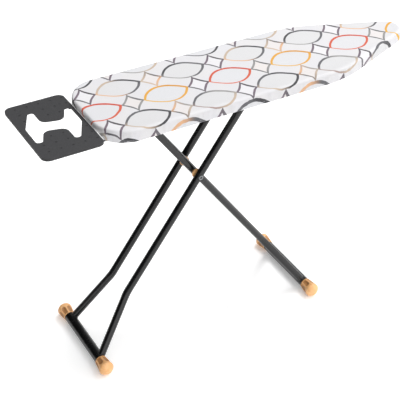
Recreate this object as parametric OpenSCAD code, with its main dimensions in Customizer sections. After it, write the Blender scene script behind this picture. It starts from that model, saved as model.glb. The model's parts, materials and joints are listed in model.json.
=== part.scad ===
// Folding ironing board with a hinged scissor stand and a pressed-steel iron tray.
// Units are millimetres. +X runs from the square heel to the rounded nose, +Y is the
// left side seen from the heel, +Z is up. The origin is on the floor, below the middle
// of the overall length.

/* [Board] */
// overall width of the padded board
board_width = 330; // [320:1:340]
// length of the padded board from heel to nose tip
board_length = 1146; // [1130:1:1160]
// height of the ironing surface above the floor
board_height = 895.5; // [890:0.5:900]
// radius of the two corners at the heel
corner_radius = 100; // [80:1:110]
// radius of the rounded nose tip
nose_radius = 49; // [44:1:54]
// angle between each tapering side and the centre line, in degrees
taper_angle = 22.3; // [21:0.1:24]
// radius of the long bend where each side starts to taper
shoulder_radius = 423; // [380:1:460]

/* [Cover and pad] */
// height of the cover's skirt
skirt_depth = 40.5; // [38:0.5:42]
// thickness of the cotton cover
cover_thick = 1.2; // [0.8:0.1:1.4]
// thickness of the felt pad
pad_thick = 7; // [6:0.5:8]
// width of the hem turned in under the rim
hem_width = 10; // [6:1:12]

/* [Deck] */
// thickness of the perforated deck sheet
sheet_thick = 1.2; // [1:0.1:1.5]
// depth of the steel rim around the deck
rim_depth = 29; // [26:0.5:30]
// distance between rows of perforations
hole_pitch = 40; // [36:1:50]
// side of each square perforation
hole_side = 17; // [10:1:18]

/* [Legs] */
// outside diameter of the leg tubes
leg_tube_d = 25; // [24:0.5:25]
// outside diameter of the foot bars
foot_bar_d = 36; // [34:0.5:36]
// distance from the centre line to each outer leg tube
outer_leg_y = 55.6; // [55.6:0.1:56]
// distance from the centre line to each inner leg tube
inner_leg_y = 25.5; // [25:0.1:25.5]
// slope of the outer leg from horizontal, in degrees
outer_leg_slope = 53.96; // [53.7:0.01:54.2]
// slope of the inner leg from horizontal, in degrees
inner_leg_slope = 54.64; // [54.4:0.01:54.9]
// X position of the scissor pivot
pivot_x = -120; // [-122:0.5:-118]
// height of the scissor pivot
pivot_z = 582; // [580:0.5:584]

/* [Feet] */
// largest diameter of the fluted feet
foot_d = 50; // [48:0.5:52]
// length of each foot outside the bar
foot_length = 60; // [56:1:64]
// number of flutes around each foot
flute_count = 6; // [5:1:8]

/* [Iron tray] */
// distance from the board's heel to the tray's outer edge
tray_reach = 194; // [188:1:200]
// width of the tray across the board
tray_width = 314; // [310:1:320]
// radius of the tray's corners
tray_corner = 24; // [16:1:30]
// height of the tray's top face above the floor
tray_height = 877.6; // [876.6:0.1:878.6]

/* [Release lever] */
// reach of the lever from its hinge to the side arm
lever_reach = 400; // [396:1:404]
// diameter of the lever's grip
grip_d = 18; // [14:1:20]

/* [Shown part] */
// name of the part to show, or all

/* [Hidden] */
$fn = 48;
eps = 0.01;
touch = 0.02;
running = 0.05;

// board outline
half_width = board_width / 2;
heel_x = -(board_length + tray_reach) / 2 + tray_reach;
nose_x = heel_x + board_length;
corner_x = heel_x + corner_radius;
corner_y = half_width - corner_radius;
nose_centre_x = nose_x - nose_radius;
taper_sin = sin(taper_angle);
taper_cos = cos(taper_angle);
shoulder_y = half_width - shoulder_radius;
shoulder_run = nose_radius - shoulder_radius - taper_cos * shoulder_y;
shoulder_x = nose_centre_x + shoulder_run / taper_sin;

// levels through the deck
skirt_bottom = board_height - skirt_depth;
pad_top = board_height - cover_thick - 0.1;
pad_bottom = pad_top - pad_thick;
sheet_bottom = pad_bottom - sheet_thick;
rim_wall = 1.5;
rim_inset = 2;
rim_inner = rim_inset + rim_wall;
sheet_inset = rim_inner + touch;
rim_bottom = pad_bottom - rim_depth;

// cross braces, inverted channels below the deck sheet
brace_height = 11.5;
brace_width = 24;
brace_wall = 1.5;
brace_bottom = sheet_bottom - brace_height;
heel_brace_x = heel_x + 76;
middle_brace_x = 40;
nose_brace_x = 410;
brace_margin = 5;

// scissor geometry
hinge_z = brace_bottom - 10.5;
rise = hinge_z - pivot_z;
outer_turn = 180 - outer_leg_slope;
inner_turn = inner_leg_slope;
top_run = rise / tan(outer_leg_slope);
top_reach = rise / sin(outer_leg_slope);
slide_x = pivot_x + top_run;
hinge_x = pivot_x - top_run;
foot_r = foot_d / 2;
foot_z = foot_r;
drop = pivot_z - foot_z;
outer_bar_x = pivot_x - drop / tan(outer_leg_slope) - 3;
inner_bar_x = pivot_x + drop / tan(inner_leg_slope);

// leg tubes
leg_r = leg_tube_d / 2;
tube_wall = 1.2;
bore_r = leg_r - tube_wall;
tube_overrun = 8;
bend_radius = 120;
bend_along = 463;
splay_end_y = 112;
rod_r = 5;
pivot_rod_r = 4;

// foot bars and feet
bar_r = foot_bar_d / 2;
bar_wall = 1.5;
bar_half = 124;
collar_r = bar_r + 1.5;
dome_r = foot_r + 2;
dome_centre = foot_length - dome_r;
dome_join = dome_centre + sqrt(dome_r * dome_r - foot_r * foot_r);
plug_length = 22;
flute_r = 14;
flute_depth = 3.4;
flute_run = 21;
collar_rim = 2;
flute_tilt = atan((foot_r - collar_r) / dome_join) - 5;

// guide rails for the outer leg's rollers
rail_wall = 1.5;
rail_gap = 18;
rail_height = rail_gap + 2 * rail_wall;
rail_inner_y = 70.5;
rail_width = 15.5;
rail_start = 20;
rail_end = 425;
roller_r = rail_gap / 2 - 0.3;
roller_width = 11.5;
roller_y = rail_inner_y + 1.5;
rod_tip_y = roller_y + roller_width;

// inner leg's hinge bracket
ear_y = 41.5;
ear_thick = 2.5;
ear_r = 13;
hinge_tip_y = 47;

// iron tray
tray_outer_x = heel_x - tray_reach;
tray_inner_x = heel_x - 1;
tray_thick = 1.5;
tray_lip = 8;
tray_bottom = tray_height - tray_thick;
lip_start_x = tray_inner_x - 4;
cut_x = (tray_outer_x + tray_inner_x) / 2 + 2.4;
cut_y = 1.5;
dimple_pitch = 37.5;
dimple_pitch_y = 36.7;
dimple_r = 4;
dimple_depth = 0.8;
dimple_margin = 7;
dimple_x = tray_outer_x + 30;
dimple_y = -121.4;

// tray arms
arm_y = 107;
arm_width = 12;
arm_thick = 3;
arm_outer_x = tray_outer_x + 15;
arm_inner_x = heel_brace_x + 14;
arm_low = skirt_bottom - arm_thick - 0.6;
riser_outer_x = heel_x - 4.6;
riser_inner_x = heel_x + 32;
rivet_r = 2.5;
rivet_head_r = 4;
rivet_head = 0.8;
rivet_outer_x = tray_outer_x + 40;
rivet_inner_x = heel_x - 30;

// release lever
lever_x = middle_brace_x;
lever_half = 10;
lever_thick = 3;
lining_thick = 2;
lining_top = hinge_z - rod_r - 0.3;
lever_top = lining_top - lining_thick;
lever_pin_z = lever_top + 0.5;
lever_pin_r = 2.5;
lever_eye_r = 5.5;
side_arm_r = 4;
side_arm_x = lever_x + lever_reach;
side_arm_z = lever_top - lever_thick / 2;
side_arm_tip_y = -104;
grip_start_y = -62;
lining_start = lever_x + 32;
lining_end = lever_x + 338;
bracket_ear = 2;
bracket_y = 12;

// tension spring above the lever
spring_x = lever_x + 20;
wire_r = 0.8;
coil_r = 3.6;
coil_pitch = 1.5;
coil_count = 8;
coil_bottom = lever_top + 3;

// half the board's width at a distance x along it
function half_width_at(x) =
  x < corner_x ? corner_y + sqrt(max(0, pow(corner_radius, 2) - pow(x - corner_x, 2))) :
  x < shoulder_x ? half_width :
  x < shoulder_x + shoulder_radius * taper_sin
    ? shoulder_y + sqrt(pow(shoulder_radius, 2) - pow(x - shoulder_x, 2)) :
  x < nose_centre_x + nose_radius * taper_sin
    ? (nose_radius - taper_sin * (x - nose_centre_x)) / taper_cos :
  sqrt(max(0, pow(nose_radius, 2) - pow(x - nose_centre_x, 2)));

// points along an arc from one angle to another
function arc_points(centre, radius, from, to, steps) =
  [for (i = [0 : steps])
    let (angle = from + (to - from) * i / steps)
    centre + radius * [cos(angle), sin(angle)]];

// left half of the board's outline from heel to nose tip, drawn in by inset
function left_outline(inset) = concat(
  arc_points([corner_x, corner_y], corner_radius - inset, 180, 90, 14),
  arc_points([shoulder_x, shoulder_y], shoulder_radius - inset, 90, 90 - taper_angle, 8),
  arc_points([nose_centre_x, 0], nose_radius - inset, 90 - taper_angle, 0, 10)
);

// flat shape of the board, drawn in from its edge by inset
module board_outline(inset) {
  upper = left_outline(inset);
  lower = [for (i = [len(upper) - 2 : -1 : 0]) [upper[i][0], -upper[i][1]]];
  polygon(concat(upper, lower));
}

// board-shaped slab between two levels
module board_slab(inset, low, high) {
  translate([0, 0, low])
    linear_extrude(high - low)
      board_outline(inset);
}

// round bar across the board from one distance off the centre line to another
module cross_bar(x, z, radius, from_y, to_y) {
  translate([x, to_y, z])
    rotate([90, 0, 0])
      cylinder(r = radius, h = to_y - from_y);
}

// ring across the board with a bore
module cross_ring(x, z, radius, bore, from_y, to_y) {
  difference() {
    cross_bar(x, z, radius, from_y, to_y);
    cross_bar(x, z, bore, from_y - 1, to_y + 1);
  }
}

// the same piece on both sides of the centre line
module both_sides() {
  for (side = [0, 1])
    mirror([0, side, 0])
      children();
}

module deck_sheet() {
  columns = floor(board_length / hole_pitch);
  rows = floor(half_width / hole_pitch);
  edge_gap = hole_side + 6;
  color([0.62, 0.63, 0.65])
    difference() {
      board_slab(sheet_inset, sheet_bottom, pad_bottom);
      for (i = [1 : columns], j = [-rows : rows]) {
        x = heel_x + i * hole_pitch;
        y = j * hole_pitch;
        if (abs(y) < half_width_at(x + hole_side) - edge_gap
            && abs(y) < half_width_at(x - hole_side) - edge_gap)
          translate([x, y, sheet_bottom - 1])
            rotate([0, 0, 45])
              translate([-hole_side / 2, -hole_side / 2, 0])
                cube([hole_side, hole_side, sheet_thick + 2]);
      }
    }
}

module deck_rim() {
  color([0.28, 0.28, 0.30])
    difference() {
      board_slab(rim_inset, rim_bottom, pad_bottom);
      board_slab(rim_inner, rim_bottom - 1, pad_bottom + 1);
    }
}

module felt_pad() {
  color([0.80, 0.79, 0.76])
    board_slab(rim_inset, pad_bottom, pad_top);
}

module cotton_cover() {
  color([0.93, 0.93, 0.92]) {
    difference() {
      board_slab(0, skirt_bottom, board_height);
      board_slab(cover_thick, skirt_bottom - 1, board_height - cover_thick);
    }
    difference() {
      board_slab(cover_thick - eps, skirt_bottom, skirt_bottom + cover_thick);
      board_slab(cover_thick + hem_width, skirt_bottom - 1, skirt_bottom + cover_thick + 1);
    }
  }
}

// inverted channel running across the board
module cross_brace(x) {
  reach = min(half_width_at(x - brace_width / 2), half_width_at(x + brace_width / 2));
  half = reach - brace_margin;
  difference() {
    translate([x - brace_width / 2, -half, brace_bottom])
      cube([brace_width, 2 * half, brace_height]);
    translate([x - brace_width / 2 + brace_wall, -half - 1, brace_bottom + brace_wall])
      cube([brace_width - 2 * brace_wall, 2 * half + 2, brace_height]);
  }
}

module cross_braces() {
  color([0.28, 0.28, 0.30])
    for (x = [heel_brace_x, middle_brace_x, nose_brace_x])
      cross_brace(x);
}

// channel open towards the centre line, for one roller
module guide_rail() {
  low = hinge_z - rail_height / 2;
  difference() {
    translate([rail_start, rail_inner_y, low])
      cube([rail_end - rail_start, rail_width, rail_height]);
    translate([rail_start + rail_wall, rail_inner_y - 1, low + rail_wall])
      cube([rail_end - rail_start - 2 * rail_wall, rail_width - rail_wall + 1, rail_gap]);
  }
}

module guide_rail_left() {
  color([0.62, 0.63, 0.65])
    guide_rail();
}

module guide_rail_right() {
  color([0.62, 0.63, 0.65])
    mirror([0, 1, 0])
      guide_rail();
}

// one ear of the hinge bracket, bored for the hinge rod
module hinge_ear() {
  difference() {
    union() {
      cross_bar(hinge_x, hinge_z, ear_r, ear_y, ear_y + ear_thick);
      translate([hinge_x - ear_r, ear_y, hinge_z])
        cube([2 * ear_r, ear_thick, sheet_bottom - hinge_z - eps]);
    }
    cross_bar(hinge_x, hinge_z, rod_r + running, ear_y - 1, ear_y + ear_thick + 1);
  }
}

module hinge_bracket() {
  plate = 1.5;
  half_x = 25;
  half_y = ear_y + ear_thick;
  color([0.28, 0.28, 0.30]) {
    translate([hinge_x - half_x, -half_y, sheet_bottom - plate])
      cube([2 * half_x, 2 * half_y, plate]);
    both_sides()
      hinge_ear();
  }
}

// flat piece of a tray arm between two distances along the board and two levels
module arm_piece(from_x, to_x, low, high) {
  translate([from_x, arm_y - arm_width / 2, low])
    cube([to_x - from_x, arm_width, high - low]);
}

// upright rivet hole through an arm
module arm_hole(x, low, high) {
  translate([x, arm_y, low])
    cylinder(r = rivet_r + touch, h = high - low, $fn = 24);
}

// strap that carries the tray and dips under the cover's hem
module tray_arm() {
  difference() {
    union() {
      arm_piece(arm_outer_x, riser_outer_x + arm_thick, tray_bottom - arm_thick, tray_bottom);
      arm_piece(riser_outer_x, riser_outer_x + arm_thick, arm_low, tray_bottom);
      arm_piece(riser_outer_x, riser_inner_x + arm_thick, arm_low, arm_low + arm_thick);
      arm_piece(riser_inner_x, riser_inner_x + arm_thick, arm_low, brace_bottom);
      arm_piece(riser_inner_x, arm_inner_x, brace_bottom - arm_thick, brace_bottom);
    }
    for (x = [rivet_outer_x, rivet_inner_x])
      arm_hole(x, tray_bottom - arm_thick - 1, tray_bottom + 1);
  }
}

module tray_arm_left() {
  color([0.16, 0.16, 0.17])
    tray_arm();
}

module tray_arm_right() {
  color([0.16, 0.16, 0.17])
    mirror([0, 1, 0])
      tray_arm();
}

// points of a corner with rounding radius r between its two neighbours
function corner_arc(before, at, after, r, steps) =
  let (
    a = (before - at) / norm(before - at),
    b = (after - at) / norm(after - at),
    half = acos(a * b) / 2,
    middle = (a + b) / norm(a + b),
    centre = at + middle * r / sin(half),
    start = centre - at - a * r / tan(half),
    finish = centre - at - b * r / tan(half)
  )
  [for (i = [0 : steps])
    let (
      t = i / steps,
      blend = -start * (1 - t) - finish * t
    )
    centre + blend * r / norm(blend)];

// closed outline with every corner rounded by its own radius
function rounded_outline(points, radii, steps) =
  let (count = len(points))
  [for (i = [0 : count - 1])
    each corner_arc(points[(i + count - 1) % count], points[i],
                    points[(i + 1) % count], radii[i], steps)];

// corners of the tray opening's first half, about the opening's centre;
// the second half is the same, turned half way round
lobe_tip_y = 93;
lobe_foot_y = 68;
lobe_outer_x = 81.6;
lobe_inner_x = 27.3;
half_corners = [
  [-lobe_inner_x, lobe_tip_y],
  [-44.6, lobe_tip_y],
  [-lobe_outer_x, 16],
  [-lobe_outer_x, -lobe_foot_y],
  [-62.8, -lobe_foot_y],
  [-39.2, -15.1],
  [lobe_inner_x, -31]
];
half_radii = [8, 7, 30, 9, 7, 24, 24];

// distance from a point to the straight edge between two corners
function edge_gap(point, from, to) =
  let (
    edge = to - from,
    along = (point - from) * edge / (edge * edge)
  )
  norm(point - from - edge * max(0, min(1, along)));

// true where a line drawn towards +X from the point crosses an edge
function crosses(point, from, to) =
  (from[1] > point[1]) != (to[1] > point[1])
  && point[0] < from[0] + (point[1] - from[1]) * (to[0] - from[0]) / (to[1] - from[1]);

// true where a point lies outside a closed outline and at least margin from it
function clear_of(point, corners, margin) =
  let (
    count = len(corners),
    gaps = [for (i = [0 : count - 1]) edge_gap(point, corners[i], corners[(i + 1) % count])],
    hits = [for (i = [0 : count - 1]) if (crosses(point, corners[i], corners[(i + 1) % count])) i]
  )
  min(gaps) > margin && len(hits) % 2 == 0;

// flat shape of the tray, drawn in from its edge by inset
module tray_shape(inset) {
  r = tray_corner - inset;
  x0 = tray_outer_x + tray_corner;
  x1 = tray_inner_x - tray_corner;
  y1 = tray_width / 2 - tray_corner;
  for (x = [x0, x1], y = [-y1, y1])
    translate([x, y])
      circle(r = r);
  translate([x0 - r, -y1])
    square([x1 - x0 + 2 * r, 2 * y1]);
  translate([x0, -y1 - r])
    square([x1 - x0, 2 * y1 + 2 * r]);
}

module iron_tray() {
  turned_corners = [for (p = half_corners) -p];
  corners = concat(half_corners, turned_corners);
  radii = concat(half_radii, half_radii);
  wall = 1.5;
  columns = floor((tray_inner_x - dimple_x) / dimple_pitch);
  rows = floor((tray_width / 2 - 10 - dimple_y) / dimple_pitch_y);
  color([0.29, 0.29, 0.30])
    difference() {
      union() {
        translate([0, 0, tray_bottom])
          linear_extrude(tray_thick)
            tray_shape(0);
        difference() {
          translate([0, 0, tray_height - tray_lip])
            linear_extrude(tray_lip - tray_thick + eps)
              tray_shape(0);
          translate([0, 0, tray_height - tray_lip - 1])
            linear_extrude(tray_lip + 1)
              tray_shape(wall);
          translate([lip_start_x, -tray_width, tray_height - tray_lip - 1])
            cube([tray_reach, 2 * tray_width, tray_lip - tray_thick + 1]);
        }
      }
      translate([cut_x, cut_y, tray_bottom - 1])
        linear_extrude(tray_thick + 2)
          polygon(rounded_outline(corners, radii, 6));
      for (i = [0 : columns], j = [0 : rows]) {
        x = dimple_x + i * dimple_pitch;
        y = dimple_y + j * dimple_pitch_y;
        if (clear_of([x - cut_x, y - cut_y], corners, dimple_margin))
          translate([x, y, tray_height - dimple_depth])
            cylinder(r = dimple_r, h = 1, $fn = 24);
      }
      for (x = [rivet_outer_x, rivet_inner_x], y = [-arm_y, arm_y])
        translate([x, y, 0])
          countersunk_hole();
    }
}

// hole through the tray with a countersink for one rivet head
module countersunk_hole() {
  translate([0, 0, tray_bottom - 1])
    cylinder(r = rivet_r + touch, h = tray_thick + 2, $fn = 24);
  translate([0, 0, tray_height - rivet_head - touch])
    cylinder(r1 = rivet_r + touch, r2 = rivet_head_r + touch, h = rivet_head + touch, $fn = 24);
  translate([0, 0, tray_height - eps])
    cylinder(r = rivet_head_r + touch, h = 1, $fn = 24);
}

// rivet through the tray and an arm, its top head flush with the tray
module tray_rivet() {
  top = tray_height - touch;
  low = tray_bottom - arm_thick - rivet_head;
  translate([0, 0, low])
    cylinder(r = rivet_r, h = top - low - eps, $fn = 24);
  translate([0, 0, top - rivet_head])
    cylinder(r1 = rivet_r, r2 = rivet_head_r, h = rivet_head, $fn = 24);
  translate([0, 0, low])
    cylinder(r1 = rivet_r, r2 = rivet_head_r, h = rivet_head, $fn = 24);
}

module tray_rivets() {
  color([0.29, 0.29, 0.30])
    for (x = [rivet_outer_x, rivet_inner_x], y = [-arm_y, arm_y])
      translate([x, y, 0])
        tray_rivet();
}

module lever_bracket() {
  half_x = 8;
  ear_low = lever_pin_z - 6;
  color([0.28, 0.28, 0.30])
    difference() {
      union() {
        translate([lever_x - half_x, -bracket_y - bracket_ear, brace_bottom - bracket_ear])
          cube([2 * half_x, 2 * (bracket_y + bracket_ear), bracket_ear]);
        both_sides()
          translate([lever_x - half_x, bracket_y, ear_low])
            cube([2 * half_x, bracket_ear, brace_bottom - ear_low]);
      }
      cross_bar(lever_x, lever_pin_z, lever_pin_r + touch, -2 * bracket_y, 2 * bracket_y);
    }
}

module lever_pin() {
  tip = bracket_y + bracket_ear + 1.5;
  color([0.72, 0.72, 0.74])
    cross_bar(lever_x, lever_pin_z, lever_pin_r, -tip, tip);
}

module lever_spring() {
  coil_top = coil_bottom + (coil_count - 1) * coil_pitch;
  color([0.72, 0.72, 0.74]) {
    for (i = [0 : coil_count - 1])
      translate([spring_x, 0, coil_bottom + i * coil_pitch])
        rotate_extrude($fn = 36)
          translate([coil_r, 0])
            circle(r = wire_r, $fn = 16);
    for (z = [coil_bottom, coil_top])
      cross_bar(spring_x, z, wire_r, -coil_r, coil_r);
    translate([spring_x, 0, coil_top])
      cylinder(r = wire_r, h = brace_bottom - coil_top, $fn = 16);
    translate([spring_x, 0, lever_top + touch])
      cylinder(r = wire_r, h = coil_bottom - lever_top, $fn = 16);
  }
}

module release_lever() {
  color([0.62, 0.63, 0.65])
    difference() {
      union() {
        cross_bar(lever_x, lever_pin_z, lever_eye_r, -lever_half, lever_half);
        translate([lever_x, -lever_half, lever_top - lever_thick])
          cube([lever_reach, 2 * lever_half, lever_thick]);
        cross_bar(side_arm_x, side_arm_z, side_arm_r, side_arm_tip_y, lever_half);
      }
      cross_bar(lever_x, lever_pin_z, lever_pin_r + running, -2 * bracket_y, 2 * bracket_y);
    }
}

module brake_lining() {
  color([0.10, 0.10, 0.10])
    translate([lining_start, -lever_half + 1, lever_top])
      cube([lining_end - lining_start, 2 * lever_half - 2, lining_thick]);
}

module lever_grip() {
  grip_end = 2;
  color([0.10, 0.10, 0.11])
    difference() {
      cross_bar(side_arm_x, side_arm_z, grip_d / 2, side_arm_tip_y - grip_end, grip_start_y);
      cross_bar(side_arm_x, side_arm_z, side_arm_r + touch, side_arm_tip_y, grip_start_y + 1);
    }
}

// places a leg lying along +X from the scissor pivot at its slope
module leg_place(turn) {
  translate([pivot_x, 0, pivot_z])
    rotate([0, turn, 0])
      children();
}

// solid run of a leg tube: straight, bent outwards, then straight to the foot bar;
// the elbow is a hair thicker and laps over both straight lengths
module tube_run(radius, start_y, reach, overrun) {
  splay = atan((splay_end_y - start_y) / (reach - bend_along));
  tangent = bend_radius * tan(splay / 2);
  bend_x = bend_along - tangent;
  start_x = -top_reach - overrun;
  end_x = bend_x + bend_radius * sin(splay);
  end_y = start_y + bend_radius * (1 - cos(splay));
  rest = (reach - end_x) / cos(splay);
  elbow_extra = 0.2;
  lap = 0.3;
  lap_angle = 0.5;
  translate([start_x, start_y, 0])
    rotate([0, 90, 0])
      cylinder(r = radius, h = bend_x + lap - start_x);
  translate([bend_x, start_y + bend_radius, 0])
    rotate([0, 0, -90 - lap_angle])
      rotate_extrude(angle = splay + 2 * lap_angle, $fn = 192)
        translate([bend_radius, 0])
          circle(r = radius + elbow_extra);
  translate([end_x, end_y, 0])
    rotate([0, 0, splay])
      translate([-lap, 0, 0])
        rotate([0, 90, 0])
          cylinder(r = radius, h = rest + lap);
}

// left tube of a leg, hollow, bored for the two rods and coped onto its foot bar
module leg_tube(turn, start_y, reach, bar_x, rod_x, pivot_gap) {
  difference() {
    leg_place(turn)
      tube_run(leg_r, start_y, reach, tube_overrun);
    leg_place(turn)
      tube_run(bore_r, start_y, reach, tube_overrun + 1);
    cross_bar(bar_x, foot_z, bar_r + touch, 0, 2 * splay_end_y);
    cross_bar(rod_x, hinge_z, rod_r + touch, 0, splay_end_y);
    cross_bar(pivot_x, pivot_z, pivot_rod_r + pivot_gap, 0, splay_end_y);
  }
}

// plug in the open top of a leg tube
module tube_plug(turn, start_y) {
  cap = 1.5;
  depth = 2.5;
  end_x = -top_reach - tube_overrun;
  leg_place(turn) {
    translate([end_x - cap, start_y, 0])
      rotate([0, 90, 0])
        cylinder(r = leg_r, h = cap);
    translate([end_x - cap / 2, start_y, 0])
      rotate([0, 90, 0])
        cylinder(r = bore_r - touch, h = depth + cap / 2);
  }
}

// round tube across the board that joins the two tubes of a leg at the floor
module foot_bar(x) {
  color([0.09, 0.09, 0.095])
    cross_ring(x, foot_z, bar_r, bar_r - bar_wall, -bar_half, bar_half);
}

// fluted foot standing on its collar, pointing up
module fluted_foot() {
  translate([0, 0, -plug_length])
    cylinder(r = bar_r - bar_wall - touch, h = plug_length + 1);
  difference() {
    union() {
      cylinder(r1 = collar_r, r2 = foot_r, h = dome_join);
      intersection() {
        translate([0, 0, dome_centre])
          sphere(r = dome_r, $fn = 64);
        translate([0, 0, dome_join - eps])
          cylinder(r = foot_r + 1, h = foot_length);
      }
    }
    for (i = [0 : flute_count - 1])
      rotate([0, 0, i * 360 / flute_count])
        translate([collar_r + flute_r - flute_depth, 0, collar_rim])
          rotate([0, flute_tilt, 0]) {
            cylinder(r = flute_r, h = flute_run);
            translate([0, 0, flute_run])
              sphere(r = flute_r, $fn = 40);
          }
  }
}

// foot on the left end of a foot bar
module foot_left(x) {
  color([0.88, 0.65, 0.40])
    translate([x, bar_half + touch, foot_z])
      rotate([-90, 0, 0])
        fluted_foot();
}

// foot on the right end of a foot bar
module foot_right(x) {
  mirror([0, 1, 0])
    foot_left(x);
}

module inner_leg_tube_left() {
  reach = drop / sin(inner_leg_slope);
  color([0.09, 0.09, 0.095])
    leg_tube(inner_turn, inner_leg_y, reach, inner_bar_x, hinge_x, running);
}

module inner_leg_tube_right() {
  mirror([0, 1, 0])
    inner_leg_tube_left();
}

module inner_leg_foot_bar() {
  foot_bar(inner_bar_x);
}

module hinge_rod() {
  color([0.72, 0.72, 0.74])
    cross_bar(hinge_x, hinge_z, rod_r, -hinge_tip_y, hinge_tip_y);
}

module hinge_spacers() {
  spacer_r = 9;
  low_y = inner_leg_y + leg_r + touch;
  color([0.12, 0.12, 0.12])
    both_sides()
      cross_ring(hinge_x, hinge_z, spacer_r, rod_r + touch, low_y, ear_y - 0.3);
}

module hinge_rod_caps() {
  cap_r = 8;
  low_y = ear_y + ear_thick + 0.4;
  color([0.12, 0.12, 0.12])
    both_sides()
      difference() {
        cross_bar(hinge_x, hinge_z, cap_r, low_y, hinge_tip_y + 1.5);
        cross_bar(hinge_x, hinge_z, rod_r + touch, low_y - 1, hinge_tip_y + touch);
      }
}

module inner_leg_plugs() {
  color([0.12, 0.12, 0.12])
    both_sides()
      tube_plug(inner_turn, inner_leg_y);
}

module pivot_washers() {
  washer_r = 16;
  low_y = inner_leg_y + leg_r + touch;
  high_y = outer_leg_y - leg_r - 0.3;
  color([0.88, 0.65, 0.40])
    both_sides()
      cross_ring(pivot_x, pivot_z, washer_r, pivot_rod_r + running, low_y, high_y);
}

module pivot_sleeve() {
  sleeve_r = 8;
  tip = inner_leg_y - leg_r - touch;
  color([0.12, 0.12, 0.12])
    cross_ring(pivot_x, pivot_z, sleeve_r, pivot_rod_r + running, -tip, tip);
}

module nose_foot_left() {
  foot_left(inner_bar_x);
}

module nose_foot_right() {
  foot_right(inner_bar_x);
}

module outer_leg_tube_left() {
  reach = drop / sin(outer_leg_slope);
  color([0.09, 0.09, 0.095])
    leg_tube(outer_turn, outer_leg_y, reach, outer_bar_x, slide_x, touch);
}

module outer_leg_tube_right() {
  mirror([0, 1, 0])
    outer_leg_tube_left();
}

module outer_leg_foot_bar() {
  foot_bar(outer_bar_x);
}

module slide_rod() {
  color([0.72, 0.72, 0.74])
    cross_bar(slide_x, hinge_z, rod_r, -rod_tip_y, rod_tip_y);
}

module slide_rollers() {
  color([0.90, 0.90, 0.88])
    both_sides()
      cross_ring(slide_x, hinge_z, roller_r, rod_r + touch, roller_y, rod_tip_y);
}

module outer_leg_plugs() {
  color([0.12, 0.12, 0.12])
    both_sides()
      tube_plug(outer_turn, outer_leg_y);
}

module pivot_rod() {
  tip = outer_leg_y + leg_r + 1.2;
  color([0.20, 0.20, 0.21])
    cross_bar(pivot_x, pivot_z, pivot_rod_r, -tip, tip);
}

// ring seated on the round outer face of each outer leg tube
module pivot_rivet_caps() {
  cap_r = 7.5;
  low_y = outer_leg_y + 8;
  high_y = outer_leg_y + leg_r + 2.2;
  color([0.80, 0.80, 0.82])
    both_sides()
      difference() {
        cross_ring(pivot_x, pivot_z, cap_r, pivot_rod_r + touch, low_y, high_y);
        leg_place(outer_turn)
          translate([-2 * cap_r, outer_leg_y, 0])
            rotate([0, 90, 0])
              cylinder(r = leg_r + touch, h = 4 * cap_r);
      }
}

module heel_foot_left() {
  foot_left(outer_bar_x);
}

module heel_foot_right() {
  foot_right(outer_bar_x);
}

deck_sheet();
deck_rim();
felt_pad();
cotton_cover();
cross_braces();
guide_rail_left();
guide_rail_right();
hinge_bracket();
tray_arm_left();
tray_arm_right();
iron_tray();
tray_rivets();
lever_bracket();
lever_pin();
lever_spring();
release_lever();
brake_lining();
lever_grip();
inner_leg_tube_left();
inner_leg_tube_right();
inner_leg_foot_bar();
hinge_rod();
hinge_spacers();
hinge_rod_caps();
inner_leg_plugs();
pivot_washers();
pivot_sleeve();
nose_foot_left();
nose_foot_right();
outer_leg_tube_left();
outer_leg_tube_right();
outer_leg_foot_bar();
slide_rod();
slide_rollers();
outer_leg_plugs();
pivot_rod();
pivot_rivet_caps();
heel_foot_left();
heel_foot_right();
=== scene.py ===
import json
import math

import bmesh
import bpy
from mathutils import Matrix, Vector, noise
from mathutils.bvhtree import BVHTree


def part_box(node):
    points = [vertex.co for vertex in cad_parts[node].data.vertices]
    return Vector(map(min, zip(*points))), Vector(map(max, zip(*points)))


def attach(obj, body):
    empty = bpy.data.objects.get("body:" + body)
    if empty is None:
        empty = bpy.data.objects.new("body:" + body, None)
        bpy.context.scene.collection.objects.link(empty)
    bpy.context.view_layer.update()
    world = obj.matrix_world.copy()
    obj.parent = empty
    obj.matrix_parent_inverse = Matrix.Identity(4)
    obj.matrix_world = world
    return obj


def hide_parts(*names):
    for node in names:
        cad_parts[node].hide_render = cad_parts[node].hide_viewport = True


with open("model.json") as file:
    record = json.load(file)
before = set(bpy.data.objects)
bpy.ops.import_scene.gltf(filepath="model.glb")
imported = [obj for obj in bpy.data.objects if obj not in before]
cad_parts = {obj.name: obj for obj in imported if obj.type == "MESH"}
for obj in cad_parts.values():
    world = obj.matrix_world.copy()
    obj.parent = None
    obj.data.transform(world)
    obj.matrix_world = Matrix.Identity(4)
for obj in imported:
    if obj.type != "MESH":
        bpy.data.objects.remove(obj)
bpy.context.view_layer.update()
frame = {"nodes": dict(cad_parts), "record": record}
record = frame["record"]
nodes = frame["nodes"]
scene = bpy.context.scene
MM = 0.001


# ---------------------------------------------------------------- colours and node helpers
def shade(code):
    """Linear colour of an sRGB hex code."""
    parts = [int(code[i : i + 2], 16) / 255 for i in (0, 2, 4)]
    linear = [c / 12.92 if c <= 0.04045 else ((c + 0.055) / 1.055) ** 2.4 for c in parts]
    return (*linear, 1.0)


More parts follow.
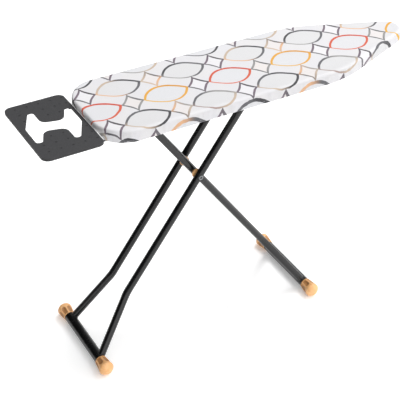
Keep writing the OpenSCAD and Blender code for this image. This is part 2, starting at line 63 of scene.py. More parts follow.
class Number:
    """A number inside a material's node tree, with ordinary arithmetic."""

    def __init__(self, tree, socket):
        self.tree, self.socket = tree, socket

    def op(self, name, *others, swap=False):
        """Result of a Math node on this number and the others."""
        node = self.tree.nodes.new("ShaderNodeMath")
        node.operation = name
        inputs = [self, *others]
        if swap:
            inputs.reverse()
        for place, value in zip(node.inputs, inputs):
            if isinstance(value, Number):
                self.tree.links.new(value.socket, place)
            else:
                place.default_value = value
        return Number(self.tree, node.outputs[0])

    def __add__(self, other):
        return self.op("ADD", other)

    def __sub__(self, other):
        return self.op("SUBTRACT", other)

    def __rsub__(self, other):
        return self.op("SUBTRACT", other, swap=True)

    def __mul__(self, other):
        return self.op("MULTIPLY", other)

    def __truediv__(self, other):
        return self.op("DIVIDE", other)

    def __pow__(self, other):
        return self.op("POWER", other)

    def abs(self):
        return self.op("ABSOLUTE")

    def floor(self):
        return self.op("FLOOR")

    def sine(self):
        return self.op("SINE")

    def above(self, edge):
        return self.op("GREATER_THAN", edge)

    def most(self, other):
        return self.op("MAXIMUM", other)

    def least(self, other):
        return self.op("MINIMUM", other)

    def cycle(self, size):
        return self.op("FLOORED_MODULO", size)

    def clamp(self):
        node = self.tree.nodes.new("ShaderNodeClamp")
        self.tree.links.new(self.socket, node.inputs["Value"])
        return Number(self.tree, node.outputs[0])

    def smooth(self, low, high):
        """0 below low, 1 above high, with a soft step between."""
        node = self.tree.nodes.new("ShaderNodeMapRange")
        node.interpolation_type = "SMOOTHSTEP"
        self.tree.links.new(self.socket, node.inputs["Value"])
        node.inputs["From Min"].default_value = low
        node.inputs["From Max"].default_value = high
        return Number(self.tree, node.outputs["Result"])


class Paint:
    """A material with a Principled shader and short ways to add nodes."""

    def __init__(self, name, roughness=0.5, metallic=0.0, specular=0.5, sheen=0.0):
        self.material = bpy.data.materials.new(name)
        self.material.use_nodes = True
        self.tree = self.material.node_tree
        self.shader = self.tree.nodes["Principled BSDF"]
        self.shader.inputs["Roughness"].default_value = roughness
        self.shader.inputs["Metallic"].default_value = metallic
        self.shader.inputs["Specular IOR Level"].default_value = specular
        if sheen:
            self.shader.inputs["Sheen Weight"].default_value = sheen
            self.shader.inputs["Sheen Roughness"].default_value = 0.6

    def node(self, kind, **values):
        node = self.tree.nodes.new(kind)
        for key, value in values.items():
            setattr(node, key, value)
        return node

    def link(self, source, target):
        self.tree.links.new(source, target)

    def place(self, scale=(1, 1, 1)):
        """Object coordinates stretched along each axis."""
        where = self.node("ShaderNodeTexCoord")
        stretch = self.node("ShaderNodeMapping")
        stretch.inputs["Scale"].default_value = scale
        self.link(where.outputs["Object"], stretch.inputs["Vector"])
        return stretch.outputs["Vector"]

    def axes(self, output):
        """The x, y and z numbers of a vector output."""
        split = self.node("ShaderNodeSeparateXYZ")
        self.link(output, split.inputs[0])
        return [Number(self.tree, axis) for axis in split.outputs]

    def noise(self, scale, detail=3.0, rough=0.5, where=None, lump=0.0):
        texture = self.node("ShaderNodeTexNoise")
        texture.inputs["Scale"].default_value = scale
        texture.inputs["Detail"].default_value = detail
        texture.inputs["Roughness"].default_value = rough
        texture.inputs["Distortion"].default_value = lump
        self.link(where or self.place(), texture.inputs["Vector"])
        return Number(self.tree, texture.outputs["Fac"])

    def mix(self, factor, first, second):
        """Colour between first and second; each is a hex code or a colour output."""
        node = self.node("ShaderNodeMix", data_type="RGBA")
        if isinstance(factor, Number):
            self.link(factor.socket, node.inputs["Factor"])
        else:
            node.inputs["Factor"].default_value = factor
        for colour, name in ((first, "A"), (second, "B")):
            slot = [i for i in node.inputs if i.name == name and i.type == "RGBA"][0]
            if isinstance(colour, str):
                slot.default_value = shade(colour)
            else:
                self.link(colour, slot)
        return [o for o in node.outputs if o.type == "RGBA"][0]

    def colour(self, output):
        self.link(output, self.shader.inputs["Base Color"])

    def rough(self, number):
        self.link(number.socket, self.shader.inputs["Roughness"])

    def bump(self, number, distance, strength=1.0, edge=0.0):
        """Relief from a number, on edges that look rounded by the radius `edge`."""
        node = self.node("ShaderNodeBump")
        if edge:
            bevel = self.node("ShaderNodeBevel", samples=4)
            bevel.inputs["Radius"].default_value = edge
            self.link(bevel.outputs["Normal"], node.inputs["Normal"])
        node.inputs["Strength"].default_value = strength
        node.inputs["Distance"].default_value = distance
        self.link(number.socket, node.inputs["Height"])
        self.link(node.outputs["Normal"], self.shader.inputs["Normal"])


# ---------------------------------------------------------------- board outline
HEEL_X, LENGTH, HALF = -476 * MM, 1146 * MM, 165 * MM
CORNER_R, NOSE_R, SHOULDER_R = 100 * MM, 49 * MM, 423 * MM
TAPER = math.radians(22.3)
TOP_Z, SKIRT_Z = 895.5 * MM, 855 * MM
NOSE_CENTRE_X = HEEL_X + LENGTH - NOSE_R
SHOULDER_Y = HALF - SHOULDER_R
SHOULDER_REACH = (SHOULDER_R - NOSE_R + math.cos(TAPER) * SHOULDER_Y) / math.sin(TAPER)
SHOULDER_X = NOSE_CENTRE_X - SHOULDER_REACH
ARC_STEPS = 120
RIM_INSET = 20 * MM


def outline_path(step):
    """Points round the board at an even spacing, each with its outward direction."""
    arcs = [
        (HEEL_X + CORNER_R, HALF - CORNER_R, CORNER_R, math.pi, math.pi / 2),
        (SHOULDER_X, SHOULDER_Y, SHOULDER_R, math.pi / 2, math.pi / 2 - TAPER),
        (NOSE_CENTRE_X, 0.0, NOSE_R, math.pi / 2 - TAPER, 0.0),
    ]
    fine = [(Vector((HEEL_X, 0.0)), Vector((-1.0, 0.0)))]
    for cx, cy, radius, start, end in arcs:
        for i in range(ARC_STEPS + 1):
            angle = start + (end - start) * i / ARC_STEPS
            out = Vector((math.cos(angle), math.sin(angle)))
            fine.append((Vector((cx, cy)) + out * radius, out))
    lengths = [0.0]
    for (a, _), (b, _) in zip(fine, fine[1:]):
        lengths.append(lengths[-1] + (b - a).length)
    count = round(lengths[-1] / step)
    half, at = [], 0
    for k in range(count + 1):
        wanted = lengths[-1] * k / count
        while at < len(fine) - 2 and lengths[at + 1] < wanted:
            at += 1
        span = lengths[at + 1] - lengths[at]
        t = (wanted - lengths[at]) / span if span > 1e-12 else 0.0
        point = fine[at][0].lerp(fine[at + 1][0], t)
        out = fine[at][1].lerp(fine[at + 1][1], t).normalized()
        half.append((point, out))
    other = [(Vector((p.x, -p.y)), Vector((o.x, -o.y))) for p, o in reversed(half[1:-1])]
    return half + other


def spine_point(point):
    """Point of the board's middle line that a point of its outline shrinks towards."""
    heel_end, nose_end = HEEL_X + 150 * MM, NOSE_CENTRE_X - 20 * MM
    return Vector((min(max(point.x, heel_end), nose_end), 0.0))


def make_object(name, verts, faces, uvs=None):
    """Smooth-shaded object from points and faces; uvs is one flat place for each point."""
    mesh = bpy.data.meshes.new(name)
    mesh.from_pydata(verts, [], faces)
    if uvs is not None:
        layer = mesh.uv_layers.new(name="cloth")
        for loop in mesh.loops:
            layer.data[loop.index].uv = uvs[loop.vertex_index]
    for polygon in mesh.polygons:
        polygon.use_smooth = True
    mesh.update()
    piece = bpy.data.objects.new(name, mesh)
    scene.collection.objects.link(piece)
    return piece


def ring_faces(rings, count):
    """Quads between successive closed rings of `count` points each."""
    faces = []
    for ring in range(rings - 1):
        low, high = ring * count, (ring + 1) * count
        for k in range(count):
            n = (k + 1) % count
            faces.append((low + k, low + n, high + n, high + k))
    return faces


def merge(piece, distance):
    """Join points closer than the distance and turn all faces outward."""
    work = bmesh.new()
    work.from_mesh(piece.data)
    bmesh.ops.remove_doubles(work, verts=work.verts, dist=distance)
    bmesh.ops.recalc_face_normals(work, faces=work.faces)
    work.to_mesh(piece.data)
    work.free()


def apply_modifiers(piece):
    """Make the shape that the modifiers give the piece's own mesh."""
    depsgraph = bpy.context.evaluated_depsgraph_get()
    mesh = bpy.data.meshes.new_from_object(piece.evaluated_get(depsgraph))
    piece.modifiers.clear()
    piece.data = mesh


# ---------------------------------------------------------------- cotton cover
EDGE_R = 7 * MM
HEM_TURN, HEM_FOLD = 11 * MM, 2.2 * MM
COVER_STEP = 6 * MM
CLOTH_THICKNESS = 1.0 * MM
FLAT_SCALE = 1.45


def cover_profile():
    """Rows from hem to top: inset from the outline, height, distance along the cloth from the edge."""
    rows = []
    drop = TOP_Z - SKIRT_Z - EDGE_R
    fold = HEM_FOLD
    turn = EDGE_R * math.pi / 2
    run_fold = turn + drop - fold
    for i in range(4):
        inset = HEM_TURN - (HEM_TURN - fold) * i / 3
        rows.append((inset, SKIRT_Z, run_fold + fold * math.pi / 2 + inset - fold))
    for i in range(1, 4):
        angle = math.pi / 2 * i / 3
        rows.append((fold - fold * math.sin(angle), SKIRT_Z + fold - fold * math.cos(angle),
                     run_fold + fold * (math.pi / 2 - angle)))
    for i in range(1, 11):
        height = fold + (drop - fold) * i / 10
        rows.append((0.0, SKIRT_Z + height, turn + drop - height))
    for i in range(1, 6):
        angle = math.pi / 2 * i / 5
        rows.append((EDGE_R - EDGE_R * math.cos(angle), TOP_Z - EDGE_R + EDGE_R * math.sin(angle),
                     turn - EDGE_R * angle))
    for inset in (12 * MM, RIM_INSET):
        rows.append((inset, TOP_Z, EDGE_R - inset))
    return rows


def cover_piece():
    """The cotton cover: wavy skirt with a turned-in hem, then rings that shrink to the middle line."""
    slow_wave, fast_wave, unevenness = 34, 90, 9
    ease, puff = 0.25 * MM, 1.2 * MM
    path = outline_path(COVER_STEP)
    count = len(path)
    verts, uvs = [], []
    for inset, z, run in cover_profile():
        below = min(max((TOP_Z - EDGE_R - z) / (TOP_Z - EDGE_R - SKIRT_Z), 0.0), 1.0)
        for k, (point, out) in enumerate(path):
            # The cloth is tight across the heel, loose round the curves and fairly flat along the sides.
            if out.x < -0.95:
                curve = 0.0
            elif abs(out.x) > 0.05:
                curve = 1.0
            else:
                curve = 0.35
            along = k * COVER_STEP
            wave = noise.noise((along * slow_wave, 0.3, 2.1))
            wave += 0.6 * noise.noise((along * fast_wave, 5.3, 0.7))
            push = (ease + puff * curve * max(wave, -0.1)) * math.sin(math.pi * below ** 0.8)
            place = point - out * (inset - push)
            lift = 0.35 * MM * noise.noise((point.x * unevenness, point.y * unevenness, z * 40))
            verts.append((place.x, place.y, z + lift * (1 - below)))
            flat = point + out * (run - EDGE_R)
            uvs.append((flat.x / FLAT_SCALE + 0.5, flat.y / FLAT_SCALE + 0.5))
    inner = [point - out * RIM_INSET for point, out in path]
    steps = 13
    for i in range(1, steps + 1):
        t = i / steps
        for k, (point, out) in enumerate(path):
            place = inner[k].lerp(spine_point(point), t)
            bumps = noise.noise((place.x * unevenness, place.y * unevenness, 7.7))
            verts.append((place.x, place.y, TOP_Z - 0.3 * MM + 0.5 * MM * bumps))
            uvs.append((place.x / FLAT_SCALE + 0.5, place.y / FLAT_SCALE + 0.5))
    piece = make_object("cover_cloth", verts, ring_faces(len(verts) // count, count), uvs)
    merge(piece, 0.4 * MM)
    settle_skirt(piece)
    solid = piece.modifiers.new("thickness", "SOLIDIFY")
    solid.thickness = CLOTH_THICKNESS
    solid.offset = -1.0
    apply_modifiers(piece)
    return piece


def settle_skirt(piece):
    """Let the loose skirt settle as cloth between the held top and hem, within a few millimetres."""
    moments = 12
    held_above, held_below = TOP_Z - 5 * MM, SKIRT_Z + 2.6 * MM
    heel_bulge, side_bulge, dent, most_slide = 0.3 * MM, 3.0 * MM, -0.2 * MM, 1.5 * MM
    mesh = piece.data
    rest = [vertex.co.copy() for vertex in mesh.vertices]
    outward = [Vector((v.normal.x, v.normal.y, 0.0)).normalized() for v in mesh.vertices]
    held = piece.vertex_groups.new(name="held")
    fixed = [v.index for v in mesh.vertices if not held_below <= v.co.z <= held_above]
    held.add(fixed, 1.0, "REPLACE")
    cloth = piece.modifiers.new("cloth", "CLOTH")
    cloth.settings.quality = 5
    cloth.settings.mass = 0.15
    cloth.settings.tension_stiffness = 20
    cloth.settings.compression_stiffness = 20
    cloth.settings.shear_stiffness = 8
    cloth.settings.bending_stiffness = 0.4
    cloth.settings.shrink_min = -0.035
    cloth.settings.vertex_group_mass = "held"
    cloth.collision_settings.use_collision = False
    for moment in range(1, moments + 1):
        scene.frame_set(moment)
    settled = piece.evaluated_get(bpy.context.evaluated_depsgraph_get()).data
    moved = [vertex.co.copy() for vertex in settled.vertices]
    scene.frame_set(1)
    piece.modifiers.remove(cloth)
    piece.vertex_groups.remove(held)
    for vertex, start, now, out in zip(mesh.vertices, rest, moved, outward):
        step = now - start
        most = heel_bulge if out.x < -0.9 else side_bulge
        bulge = min(max(step.dot(out), dent), most)
        slide = step - out * step.dot(out)
        if slide.length > most_slide:
            slide *= most_slide / slide.length
        vertex.co = start + out * bulge + slide
    mesh.update()


def print_paint():
    """Cotton printed with rows of open leaves and four-pointed diamonds between them."""
    paint = Paint("printed_cotton", roughness=0.88, specular=0.25, sheen=0.15)
    flat = paint.axes(paint.node("ShaderNodeUVMap", uv_map="cloth").outputs["UV"])
    x = (flat[0] - 0.5) * (FLAT_SCALE / MM)
    y = (flat[1] - 0.5) * (FLAT_SCALE / MM)
    combine = paint.node("ShaderNodeCombineXYZ")
    paint.link(x.socket, combine.inputs[0])
    paint.link(y.socket, combine.inputs[1])
    cloth = combine.outputs[0]

    # Hand-drawn wobble of the figures, in millimetres.
    wobble, wobble_scale = 3.0, 0.035
    wobble_x = paint.noise(wobble_scale, 2.0, where=cloth) - 0.5
    shift = paint.node("ShaderNodeMapping")
    shift.inputs["Location"].default_value = (170, 40, 0)
    paint.link(cloth, shift.inputs["Vector"])
    wobble_y = paint.noise(wobble_scale, 2.0, where=shift.outputs[0]) - 0.5
    u = x + wobble_x * wobble
    v = y + wobble_y * wobble

    # Leaves stand in rows; every other row is moved by half a pitch, with diamonds in the gaps.
    pitch, row_pitch = 223.0, 99.8
    first_u, first_v = 438.0, 24.0
    row = ((v + first_v) / row_pitch + 0.5).floor()
    odd = row.cycle(2.0)
    dy = v + first_v - row * row_pitch
    along = (u + first_u) / pitch - odd * 0.5
    column = (along + 0.5).floor()
    dx = (along - column) * pitch
    gap = along.floor()
    gx = (along - gap - 0.5) * pitch

    leaf_blur, leaf_shift, leaf_swell = 0.7, 1.4, -3.5
    bluntness, peak = 0.8, 0.989

    def lens(px, py, length, height):
        """1 inside a leaf that is blunt at its left end above and at its right end below."""
        side = py.above(0.0) * 2.0 - 1.0
        t = (px * side / length).most(-0.999).least(0.999)
        reach = (t + 1.0) ** bluntness * (1.0 - t) * (height * peak)
        return ((reach - py.abs()) / leaf_blur).clamp()

    # On the skirt, outside the straight sides and the tapering nose, the strokes are thicker.
    taper_slope, taper_at_origin = -0.41, 307.6
    half_width = (u * taper_slope + taper_at_origin).least(HALF / MM)
    skirt = (v.abs() - half_width).smooth(-2.0, 8.0)
    tilt = dy - dx * 0.06
    outer = lens(dx, tilt, 77.0, 52.0)
    inner = lens(dx + leaf_shift, tilt + leaf_shift, skirt * leaf_swell + 68.2, skirt * leaf_swell + 44.3)
    leaf = outer * (1.0 - inner)

    star_hollow, star_blur, star_swell = 0.82, 0.9, -4.0

    def star(px, py, width, height):
        """1 inside a four-pointed diamond with hollow sides."""
        share = (px.abs() / width) ** star_hollow + (py.abs() / height) ** star_hollow
        return ((1.0 - share) * (width / star_blur) + 0.5).clamp()

    twist = dy + gx * 0.02
    lean = gx - dy * 0.05
    star_fill = star(lean + 0.5, twist + 0.6, skirt * star_swell + 29.5, skirt * star_swell + 39.5)
    diamond = star(lean, twist, 40.0, 53.0) * (1.0 - star_fill)

    # Inks of the upper left, upper right, lower left and lower right quarter of a figure, by the
    # row of the print and by odd or even figure.
    ink, iron, mauve = "26262b", "505054", "665462"
    ash, sand, peach = "8a8987", "b4a18e", "cfa078"
    leaf_inks = {
        (0, 0): ("bf4420", "ba3814", "c85634", "c24822"),
        (0, 1): ("cf9418", "c2860c", "cf9e2c", "cf962c"),
        (1, 0): (sand, ink, peach, iron),
        (1, 1): (ink, iron, ash, iron),
        (2, 0): (iron, ink, iron, ink),
        (2, 1): (peach, iron, ash, sand),
        (3, 0): (iron, ink, sand, ink),
        (3, 1): (iron, ash, "94807a", sand),
    }
    diamond_inks = {
        (0, 0): (ash, iron, iron, ash),
        (0, 1): (mauve, ink, iron, mauve),
        (1, 0): (sand, iron, sand, peach),
        (1, 1): (mauve, ink, iron, mauve),
        (2, 0): (mauve, iron, iron, mauve),
        (2, 1): (mauve, iron, iron, mauve),
        (3, 0): (peach, ash, iron, sand),
        (3, 1): (mauve, ink, iron, mauve),
    }
    kind = row.cycle(4.0)

    def inked(px, py, parity, table):
        """Ink colour of a figure from its table, soft between the quarters."""
        right, upper = px.smooth(-26, 26), py.smooth(-16, 16)
        shown = None
        for row_kind in range(4):
            pair = []
            for number in range(2):
                upper_left, upper_right, lower_left, lower_right = table[(row_kind, number)]
                low = paint.mix(right, lower_left, lower_right)
                high = paint.mix(right, upper_left, upper_right)
                pair.append(paint.mix(upper, low, high))
            chosen = paint.mix(parity, pair[0], pair[1])
            if shown is None:
                shown = chosen
            else:
                shown = paint.mix(kind.above(row_kind - 0.5), shown, chosen)
        return shown

    leaf_colour = inked(dx, dy, column.cycle(2.0), leaf_inks)
    diamond_colour = inked(gx, dy, gap.cycle(2.0), diamond_inks)

    heather = paint.noise(0.9, 4.0, 0.7, where=cloth)
    blotch = paint.noise(0.012, 3.0, 0.5, where=cloth)
    ground = paint.mix(blotch.smooth(0.35, 0.65), "d0cfd2", "d3d1d1")
    ground = paint.mix(heather.smooth(0.35, 0.7) * 0.7, ground, "bdbdc1")
    filling = paint.mix(odd, "d1d1d4", "cfcecf")
    filling = paint.mix(heather.smooth(0.3, 0.7) * 0.7, filling, "babbbd")
    colour = paint.mix(inner, ground, filling)
    pale = paint.mix(gap.cycle(2.0), "d8cfca", "dcdbde")
    colour = paint.mix(star_fill * 0.45, colour, pale)
    worn = paint.noise(0.35, 3.0, 0.6, where=cloth).smooth(0.2, 0.5) * 0.15 + 0.85
    colour = paint.mix(diamond * worn, colour, diamond_colour)
    colour = paint.mix(leaf * worn, colour, leaf_colour)

    warp_pitch, weft_pitch = 0.55, 0.6
    warp = (x * (math.pi / warp_pitch)).sine() * 0.5 + 0.5
    weft = (y * (math.pi / weft_pitch)).sine() * 0.5 + 0.5
    weave = warp * weft + (1.0 - warp) * (1.0 - weft)
    colour = paint.mix((1.0 - weave) * 0.10, colour, "b9b9ba")
    paint.colour(colour)
    slub = paint.noise(0.25, 5.0, 0.65, where=cloth)
    paint.bump(weave * 0.5 + slub * 0.9, 0.25 * MM, 0.6)
    return paint.material


def sweep_ring(centres, sides, radius_at):
    """Points and faces of a closed round bead through the centres; radius_at takes 0 to 1 round it."""
    count = len(centres)
    verts, faces = [], []
    middle = sum(centres, Vector()) / count
    for k, centre in enumerate(centres):
        ahead = (centres[(k + 1) % count] - centres[k - 1]).normalized()
        side = ahead.cross(centre - middle).normalized()
        up = side.cross(ahead)
        for j in range(sides):
            angle = 2 * math.pi * j / sides
            across = side * math.cos(angle) + up * math.sin(angle)
            verts.append(centre + across * radius_at(k / count))
            n, m = (k + 1) % count, (j + 1) % sides
            faces.append((k * sides + j, n * sides + j, n * sides + m, k * sides + m))
    return verts, faces


def hem_stitches(cover):
    """One row of lockstitches round the skirt, a little above the hem."""
    surface = BVHTree.FromObject(cover, bpy.context.evaluated_depsgraph_get())
    pitch, length, width, proud = 4.0 * MM, 2.8 * MM, 0.55 * MM, 0.28 * MM
    height = SKIRT_Z + 9 * MM
    # Place along the stitch, from -1 to 1, and how thick the thread is there.
    thickness = ((-1.0, 0.35), (-0.6, 0.9), (0.0, 1.0), (0.6, 0.9), (1.0, 0.35))
    sides, rings = 6, len(thickness)
    path = outline_path(pitch)
    verts, faces = [], []
    for point, out in path:
        side = Vector((out.x, out.y, 0.0))
        hit = surface.ray_cast(Vector((point.x, point.y, height)) + side * 30 * MM, -side)[0]
        if hit is None:
            continue
        along = Vector((-out.y, out.x, 0.0))
        up = Vector((0.0, 0.0, 1.0))
        first = len(verts)
        for t, swell in thickness:
            for j in range(sides):
                angle = 2 * math.pi * j / sides
                verts.append(hit + along * (t * length / 2) + up * (math.cos(angle) * width * swell / 2)
                             + side * (math.sin(angle) * proud * swell))
        faces += [tuple(first + j for j in face) for face in ring_faces(rings, sides)]
        faces.append(tuple(first + j for j in range(sides)))
        faces.append(tuple(first + (rings - 1) * sides + j for j in reversed(range(sides))))
    piece = make_object("hem_stitches", verts, faces)
    merge(piece, 0.001 * MM)
    return piece


def thread_paint():
    """Off-white sewing thread."""
    paint = Paint("thread", roughness=0.7, specular=0.3, sheen=0.2)
    twist = paint.noise(1400, 2.0, 0.5, where=paint.place((1.0, 1.0, 0.4)))
    paint.colour(paint.mix(twist.smooth(0.35, 0.65), "c9c8cb", "e2e1e3"))
    paint.bump(twist, 0.1 * MM, 0.6)
    return paint.material


# ---------------------------------------------------------------- weld beads on the foot bars
LEG_R, END_Y, BEND_ALONG = 12.5 * MM, 112 * MM, 463 * MM


def weld_bead(name, bar, start_y, shift, side):
    """Rippled bead where a leg tube meets its foot bar.

    start_y is half the spacing of the leg's tubes at the pivot, shift how far they miss the bar's axis.
    """
    bead_r, ripple, ripples, sink = 1.5, 0.28, 26, 0.4 * MM
    low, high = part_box(bar)
    bar_x, bar_z, bar_r = (low[0] + high[0]) / 2, (low[2] + high[2]) / 2, (high[2] - low[2]) / 2
    pin_low, pin_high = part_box("pivot_rod")
    pivot = Vector(((pin_low[0] + pin_high[0]) / 2, 0.0, (pin_low[2] + pin_high[2]) / 2))
    end = Vector((bar_x + shift, 0.0, bar_z))
    reach = (end - pivot).length
    splay = math.atan((END_Y - start_y) / (reach - BEND_ALONG))
    down = (end - pivot).normalized()
    along = down * math.cos(splay) + Vector((0.0, side * math.sin(splay), 0.0))
    first = along.cross(Vector((0.0, 1.0, 0.0))).normalized()
    second = along.cross(first)
    start = end + Vector((0.0, side * END_Y, 0.0))
    flat = Vector((along.x, along.z))
    steps = 96
    centres = []
    for k in range(steps):
        angle = 2 * math.pi * k / steps
        ring = (first * math.cos(angle) + second * math.sin(angle)) * (LEG_R + sink)
        off = Vector((ring.x + shift, ring.z))
        lean, square = off.dot(flat), flat.length_squared
        wanted = bar_r + sink
        rest = off.length_squared - wanted * wanted
        root = math.sqrt(max(lean * lean - square * rest, 0.0))
        centres.append(start + ring - along * ((lean + root) / square))
    verts, faces = sweep_ring(
        centres, 10, lambda t: (bead_r + ripple * math.sin(2 * math.pi * ripples * t)) * MM
    )
    piece = make_object(name, verts, faces)
    merge(piece, 0.001 * MM)
    return piece


# ---------------------------------------------------------------- felt pad
def felt_piece():
    """The felt pad between the deck and the cover, with a rounded upper edge."""
    low, high = 887.3 * MM, 894.0 * MM
    path = outline_path(8 * MM)
    count = len(path)
    base, radius, chamfer, cap_steps = 2.4 * MM, 5.5 * MM, 1.2 * MM, 8
    rows = [(RIM_INSET, low), (base + chamfer, low), (base, low + chamfer)]
    for i in range(6):
        angle = math.pi / 2 * i / 5
        rows.append((base + radius - radius * math.cos(angle), high - radius + radius * math.sin(angle)))
    rows.append((RIM_INSET, high))
    verts = []
    for inset, z in rows:
        for point, out in path:
            place = point - out * inset
            fuzz = 0.15 * MM * noise.noise((place.x * 60, place.y * 60, z * 300))
            verts.append((place.x + out.x * fuzz, place.y + out.y * fuzz, z))
    faces = ring_faces(len(rows), count)
    for ring, z in ((0, low), (len(rows) - 1, high)):
        last = [ring * count + k for k in range(count)]
        for i in range(1, cap_steps + 1):
            start = len(verts)
            for point, out in path:
                place = (point - out * RIM_INSET).lerp(spine_point(point), i / cap_steps)
                ripple = 0.2 * MM * noise.noise((place.x * 12, place.y * 12, z * 90))
                verts.append((place.x, place.y, z + (ripple if ring == 0 else -abs(ripple))))
            for k in range(count):
                n = (k + 1) % count
                faces.append((last[k], last[n], start + n, start + k))
            last = [start + k for k in range(count)]
    piece = make_object("felt_layer", verts, faces)
    merge(piece, 0.4 * MM)
    return piece


def felt_paint():
    """Pale needled felt with clumps of fibre."""
    paint = Paint("felt", roughness=0.95, specular=0.15, sheen=0.4)
    fibres = paint.noise(900, 5.0, 0.8, lump=1.5)
    clumps = paint.noise(60, 4.0, 0.6)
    colour = paint.mix(clumps.smooth(0.3, 0.7), "c9c6bf", "dcdad4")
    colour = paint.mix(fibres.smooth(0.45, 0.75) * 0.5, colour, "a9a59c")
    paint.colour(colour)
    paint.bump(fibres * 0.6 + clumps, 0.8 * MM, 0.7)
    return paint.material


# ---------------------------------------------------------------- hard materials
def black_paint():
    """Satin black powder coat with a fine orange peel."""
    paint = Paint("black_steel", roughness=0.26, specular=0.55)
    peel = paint.noise(700, 2.0, 0.5)
    dust = paint.noise(22, 5.0, 0.65)
    paint.colour(paint.mix(dust.smooth(0.4, 0.75) * 0.5, "060607", "111112"))
    paint.rough(dust * 0.14 + 0.19)
    paint.bump(peel, 0.08 * MM, 0.4, edge=0.8 * MM)
    return paint.material


def dark_paint():
    """Dark grey painted steel."""
    paint = Paint("dark_steel", roughness=0.42, specular=0.45)
    peel = paint.noise(900, 2.0, 0.5)
    dust = paint.noise(35, 4.0, 0.6)
    paint.colour(paint.mix(dust.smooth(0.35, 0.75), "262628", "343436"))
    paint.rough(dust * 0.2 + 0.32)
    paint.bump(peel, 0.15 * MM, 0.5, edge=0.6 * MM)
    return paint.material


def enamel_paint():
    """Dark grey textured enamel on the iron tray."""
    paint = Paint("grey_enamel", roughness=0.6, specular=0.35)
    grain = paint.noise(420, 4.0, 0.7)
    patch = paint.noise(26, 4.0, 0.6)
    scuff = paint.noise(90, 6.0, 0.75, where=paint.place((1, 6, 1)), lump=0.8)
    colour = paint.mix(grain.smooth(0.35, 0.7), "303032", "3d3d3f")
    colour = paint.mix(patch.smooth(0.35, 0.7) * 0.4, colour, "363638")
    colour = paint.mix(scuff.smooth(0.62, 0.72) * 0.3, colour, "4c4c4e")
    x, _, z = paint.axes(paint.node("ShaderNodeTexCoord").outputs["Object"])
    # Painted shade: the dimples and lip lie below the tray's upper face and are painted a little darker.
    dimple_z, face_z = 877.0 * MM, 877.5 * MM
    colour = paint.mix((1.0 - z.smooth(dimple_z, face_z)) * 0.3, colour, "1c1c1d")
    # Painted highlight: a thin near-white line along the tray's inner edge.
    inner_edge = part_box("iron_tray")[1][0]
    colour = paint.mix(x.smooth(inner_edge - 2.2 * MM, inner_edge - 1.6 * MM), colour, "f4f4f4")
    paint.colour(colour)
    paint.rough(grain * 0.25 + 0.48)
    paint.bump(grain * 0.8 + patch * 0.5, 0.35 * MM, 0.6, edge=1.0 * MM)
    return paint.material


def steel_paint(name, dark, light, low, high):
    """Drawn steel with fine streaks and faint stains."""
    paint = Paint(name, roughness=0.35, metallic=1.0)
    streak = paint.noise(260, 4.0, 0.6, where=paint.place((0.06, 1.0, 1.0)))
    stain = paint.noise(30, 5.0, 0.7)
    colour = paint.mix(streak.smooth(0.3, 0.7), dark, light)
    paint.colour(paint.mix(stain.smooth(0.55, 0.8) * 0.4, colour, dark))
    paint.rough(streak * (high - low) + low)
    paint.bump(streak, 0.08 * MM, 0.4, edge=0.4 * MM)
    return paint.material


def flute_shade_mask(paint):
    """1 in the flutes of the four feet, where painted shade darkens them; 0 on the lands between them and
    on the dome.
    """
    heel_low, heel_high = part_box("heel_foot_left")
    nose_low, nose_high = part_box("nose_foot_left")
    flare, dome_length, flute_length = 5.5 * MM, 17 * MM, 43 * MM
    foot_radius = (heel_high[0] - heel_low[0]) / 2
    collar_radius = foot_radius - flare
    shoulder = heel_high[1] - dome_length
    collar = shoulder - flute_length
    heel_x, nose_x = (heel_low[0] + heel_high[0]) / 2, (nose_low[0] + nose_high[0]) / 2
    x, y, z = paint.axes(paint.node("ShaderNodeTexCoord").outputs["Object"])
    across = (x - heel_x).abs().least((x - nose_x).abs())
    radius = (across * across + (z - foot_radius) * (z - foot_radius)) ** 0.5
    along = ((y.abs() - collar) / (shoulder - collar)).clamp()
    surface = along * (foot_radius - collar_radius) + collar_radius
    on_foot = 1.0 - across.smooth(30 * MM, 31 * MM)
    before_dome = 1.0 - y.abs().smooth(shoulder - 7 * MM, shoulder - 2 * MM)
    depth = (surface - radius).smooth(0.3 * MM, 2.6 * MM)
    return depth * before_dome * y.abs().above(collar) * on_foot


def tan_paint():
    """Tan moulded plastic with a faint wood-like grain along it, and painted shade in the flutes of the
    feet.
    """
    paint = Paint("tan_plastic", roughness=0.38, specular=0.5)
    grain = paint.noise(120, 5.0, 0.6, where=paint.place((1.0, 0.12, 1.0)), lump=0.6)
    cloud = paint.noise(45, 3.0, 0.5)
    colour = paint.mix(grain.smooth(0.35, 0.7), "e6ac70", "f0bd86")
    colour = paint.mix(cloud.smooth(0.4, 0.75) * 0.4, colour, "d99d61")
    # Painted shade: the flutes of the feet are darkened to dark brown.
    colour = paint.mix(flute_shade_mask(paint) * 0.75, colour, "8f5f36")
    paint.colour(colour)
    paint.rough(grain * 0.18 + 0.28)
    paint.bump(grain * 0.5 + cloud * 0.3, 0.12 * MM, 0.5, edge=1.0 * MM)
    return paint.material


def moulded_paint(name, dark, light, roughness, scale=500):
    """Moulded plastic or rubber with a fine grain."""
    paint = Paint(name, roughness=roughness, specular=0.45)
    grain = paint.noise(scale, 3.0, 0.6)
    cloud = paint.noise(40, 4.0, 0.6)
    paint.colour(paint.mix(cloud.smooth(0.3, 0.7), dark, light))
    paint.rough(grain * 0.2 + (roughness - 0.1))
    paint.bump(grain + cloud * 0.4, 0.15 * MM, 0.5)
    return paint.material


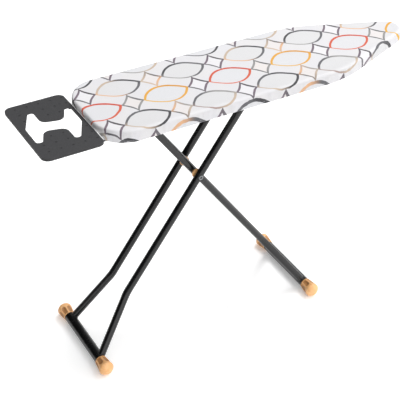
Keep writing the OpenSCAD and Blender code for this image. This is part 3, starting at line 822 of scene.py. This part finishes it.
materials = {
    "printed_cotton": print_paint(),
    "felt": felt_paint(),
    "black_steel": black_paint(),
    "dark_steel": dark_paint(),
    "grey_enamel": enamel_paint(),
    "zinc_steel": steel_paint("zinc_steel", "8c8f93", "b4b6b9", 0.38, 0.55),
    "bright_steel": steel_paint("bright_steel", "b0b1b3", "d0d1d3", 0.18, 0.34),
    "bright_cap": steel_paint("bright_cap", "737476", "98999b", 0.22, 0.36),
    "tan_plastic": tan_paint(),
    "black_plastic": moulded_paint("black_plastic", "161617", "202022", 0.45),
    "white_nylon": moulded_paint("white_nylon", "dcdcd8", "eaeae6", 0.4),
    "rubber": moulded_paint("rubber", "121212", "1e1e1e", 0.8, 800),
}
for part in record["subparts"]:
    piece = nodes[part["node"]]
    piece.data.materials.clear()
    piece.data.materials.append(materials[part["material_slot"]])


def finish_piece(piece, slot, body):
    """Give an added piece its material and slot, and the body it moves with."""
    piece.data.materials.clear()
    piece.data.materials.append(materials[slot])
    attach(piece, body)


cover = cover_piece()
finish_piece(cover, "printed_cotton", "deck")
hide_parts("cotton_cover")
felt = felt_piece()
finish_piece(felt, "felt", "deck")
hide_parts("felt_pad")
stitches = hem_stitches(cover)
finish_piece(stitches, "printed_cotton", "deck")
stitches.data.materials[0] = thread_paint()
leg_welds = (("outer", 55.6 * MM, 3 * MM), ("inner", 25.5 * MM, 0.0))
for leg, start_y, shift in leg_welds:
    for end_name, side in (("left", 1), ("right", -1)):
        bead = weld_bead(f"weld_{leg}_{end_name}", f"{leg}_leg_foot_bar", start_y, shift, side)
        finish_piece(bead, "black_steel", f"{leg}_leg")


# ---------------------------------------------------------------- stage, light and camera
def stage_floor():
    """Large white floor that glows faintly, so that it stays white away from the light."""
    mesh = bpy.data.meshes.new("floor")
    size = 30.0
    corners = [(-size, -size, 0), (size, -size, 0), (size, size, 0), (-size, size, 0)]
    mesh.from_pydata(corners, [], [(0, 1, 2, 3)])
    floor = bpy.data.objects.new("floor", mesh)
    scene.collection.objects.link(floor)
    paint = Paint("floor", roughness=0.9, specular=0.1)
    paint.shader.inputs["Base Color"].default_value = (0.95, 0.95, 0.95, 1)
    paint.shader.inputs["Emission Color"].default_value = (1, 1, 1, 1)
    paint.shader.inputs["Emission Strength"].default_value = 0.25
    floor.data.materials.append(paint.material)


def area_light(name, place, target, size, power):
    """Square light at a place, turned towards a target."""
    light = bpy.data.lights.new(name, "AREA")
    light.shape = "SQUARE"
    light.size = size
    light.energy = power
    lamp = bpy.data.objects.new(name, light)
    lamp.location = place
    lamp.rotation_euler = (Vector(target) - Vector(place)).to_track_quat("-Z", "Y").to_euler()
    scene.collection.objects.link(lamp)


def studio_world():
    """White surroundings that darken towards the far left horizon, unless the camera sees them."""
    seen_level, base_level, front_level, flag_depth = 1.05, 0.60, 1.10, 0.97
    world = bpy.data.worlds.new("studio")
    scene.world = world
    world.use_nodes = True
    tree = world.node_tree
    background = tree.nodes["Background"]
    where = tree.nodes.new("ShaderNodeTexCoord")
    split = tree.nodes.new("ShaderNodeSeparateXYZ")
    tree.links.new(where.outputs["Generated"], split.inputs[0])
    gx, gy, gz = (Number(tree, split.outputs[i]) for i in range(3))
    # The dark side gives the black tubes their dark flank, and the front their bright one.
    flag = (gx * -0.80 + gy * 0.60).smooth(0.0, 0.22) * (1.0 - gz.smooth(0.72, 0.95))
    front = (gx * 0.20 - gy * 0.95 + gz * 0.20).smooth(-0.1, 0.9)
    level = (front * front_level + base_level) * (1.0 - flag * flag_depth)
    path = tree.nodes.new("ShaderNodeLightPath")
    seen = Number(tree, path.outputs["Is Camera Ray"])
    tree.links.new((level + seen * (seen_level - level)).socket, background.inputs["Strength"])
    background.inputs["Color"].default_value = (1, 1, 1, 1)


def studio_camera():
    """Camera above the heel's side, with a long lens."""
    turn, rise, distance = math.radians(-29.357), math.radians(35.764), 3.7323
    target = Vector((-0.0850, 0.0, 0.4392))
    away = Vector((math.sin(turn) * math.cos(rise), -math.cos(turn) * math.cos(rise), math.sin(rise)))
    data = bpy.data.cameras.new("camera")
    data.sensor_width = 36
    data.lens = 101.79
    camera = bpy.data.objects.new("camera", data)
    camera.location = target + away * distance
    camera.rotation_euler = (-away).to_track_quat("-Z", "Y").to_euler()
    scene.collection.objects.link(camera)
    scene.camera = camera


stage_floor()
studio_world()
studio_camera()
area_light("key", (2.6, 0.8, 6.2), (0.0, 0.0, 0.3), 3.4, 300)
scene.view_settings.view_transform = "Standard"
